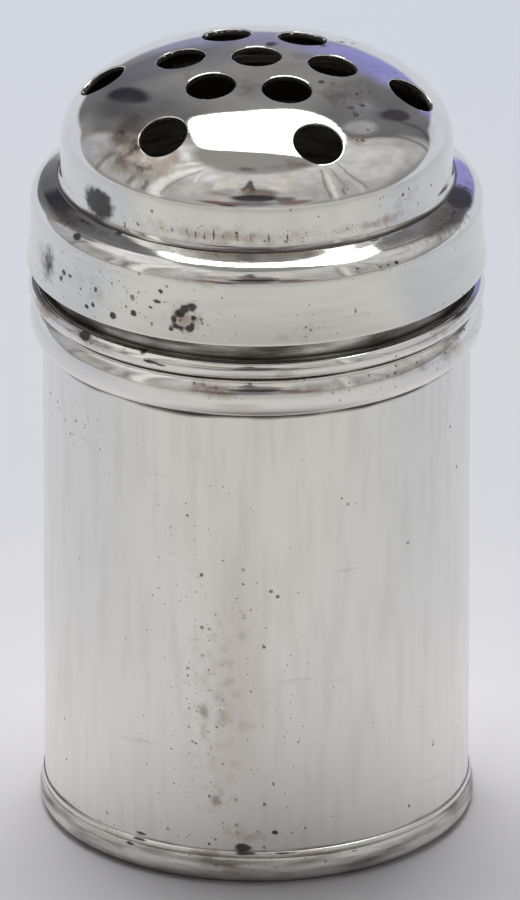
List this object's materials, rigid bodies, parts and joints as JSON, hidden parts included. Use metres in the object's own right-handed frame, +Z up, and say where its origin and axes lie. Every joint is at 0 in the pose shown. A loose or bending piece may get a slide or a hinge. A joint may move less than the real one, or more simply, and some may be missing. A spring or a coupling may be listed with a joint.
{
  "type": "salt shaker",
  "caption": "Small cylindrical silver salt shaker with a rounded foot, moulded collar and a push-on lid with a pierced dome.",
  "frame": {"origin": "centre of the ring that the shaker stands on, at table level", "axes": "+Z up along the axis of the body, +X to the right and -Y towards the viewer of the picture"},
  "size_m": [0.0302, 0.0302, 0.0529],
  "materials": {
    "body_wall": "worn polished silver with fine upright rubbing marks and pits",
    "mouldings": "polished silver, tarnished in the grooves",
    "lid": "bright polished silver with small pits and scratches",
    "base": "dull silver",
    "sleeve": "dull tarnished silver"
  },
  "bodies": {
    "body": {"body_tube": "body_wall", "base_disc": "base", "foot_rim": "mouldings", "foot_reed": "mouldings", "collar_band": "mouldings", "upper_bead": "mouldings"},
    "lid": {"lid_rim": "lid", "lid_dome": "lid", "lid_sleeve": "sleeve"}
  },
  "joints": [
    {"name": "lid_pull", "type": "slide", "parent": "body", "child": "lid", "axis": [0, 0, 1], "range_m": [0, 0.02]}
  ]
}
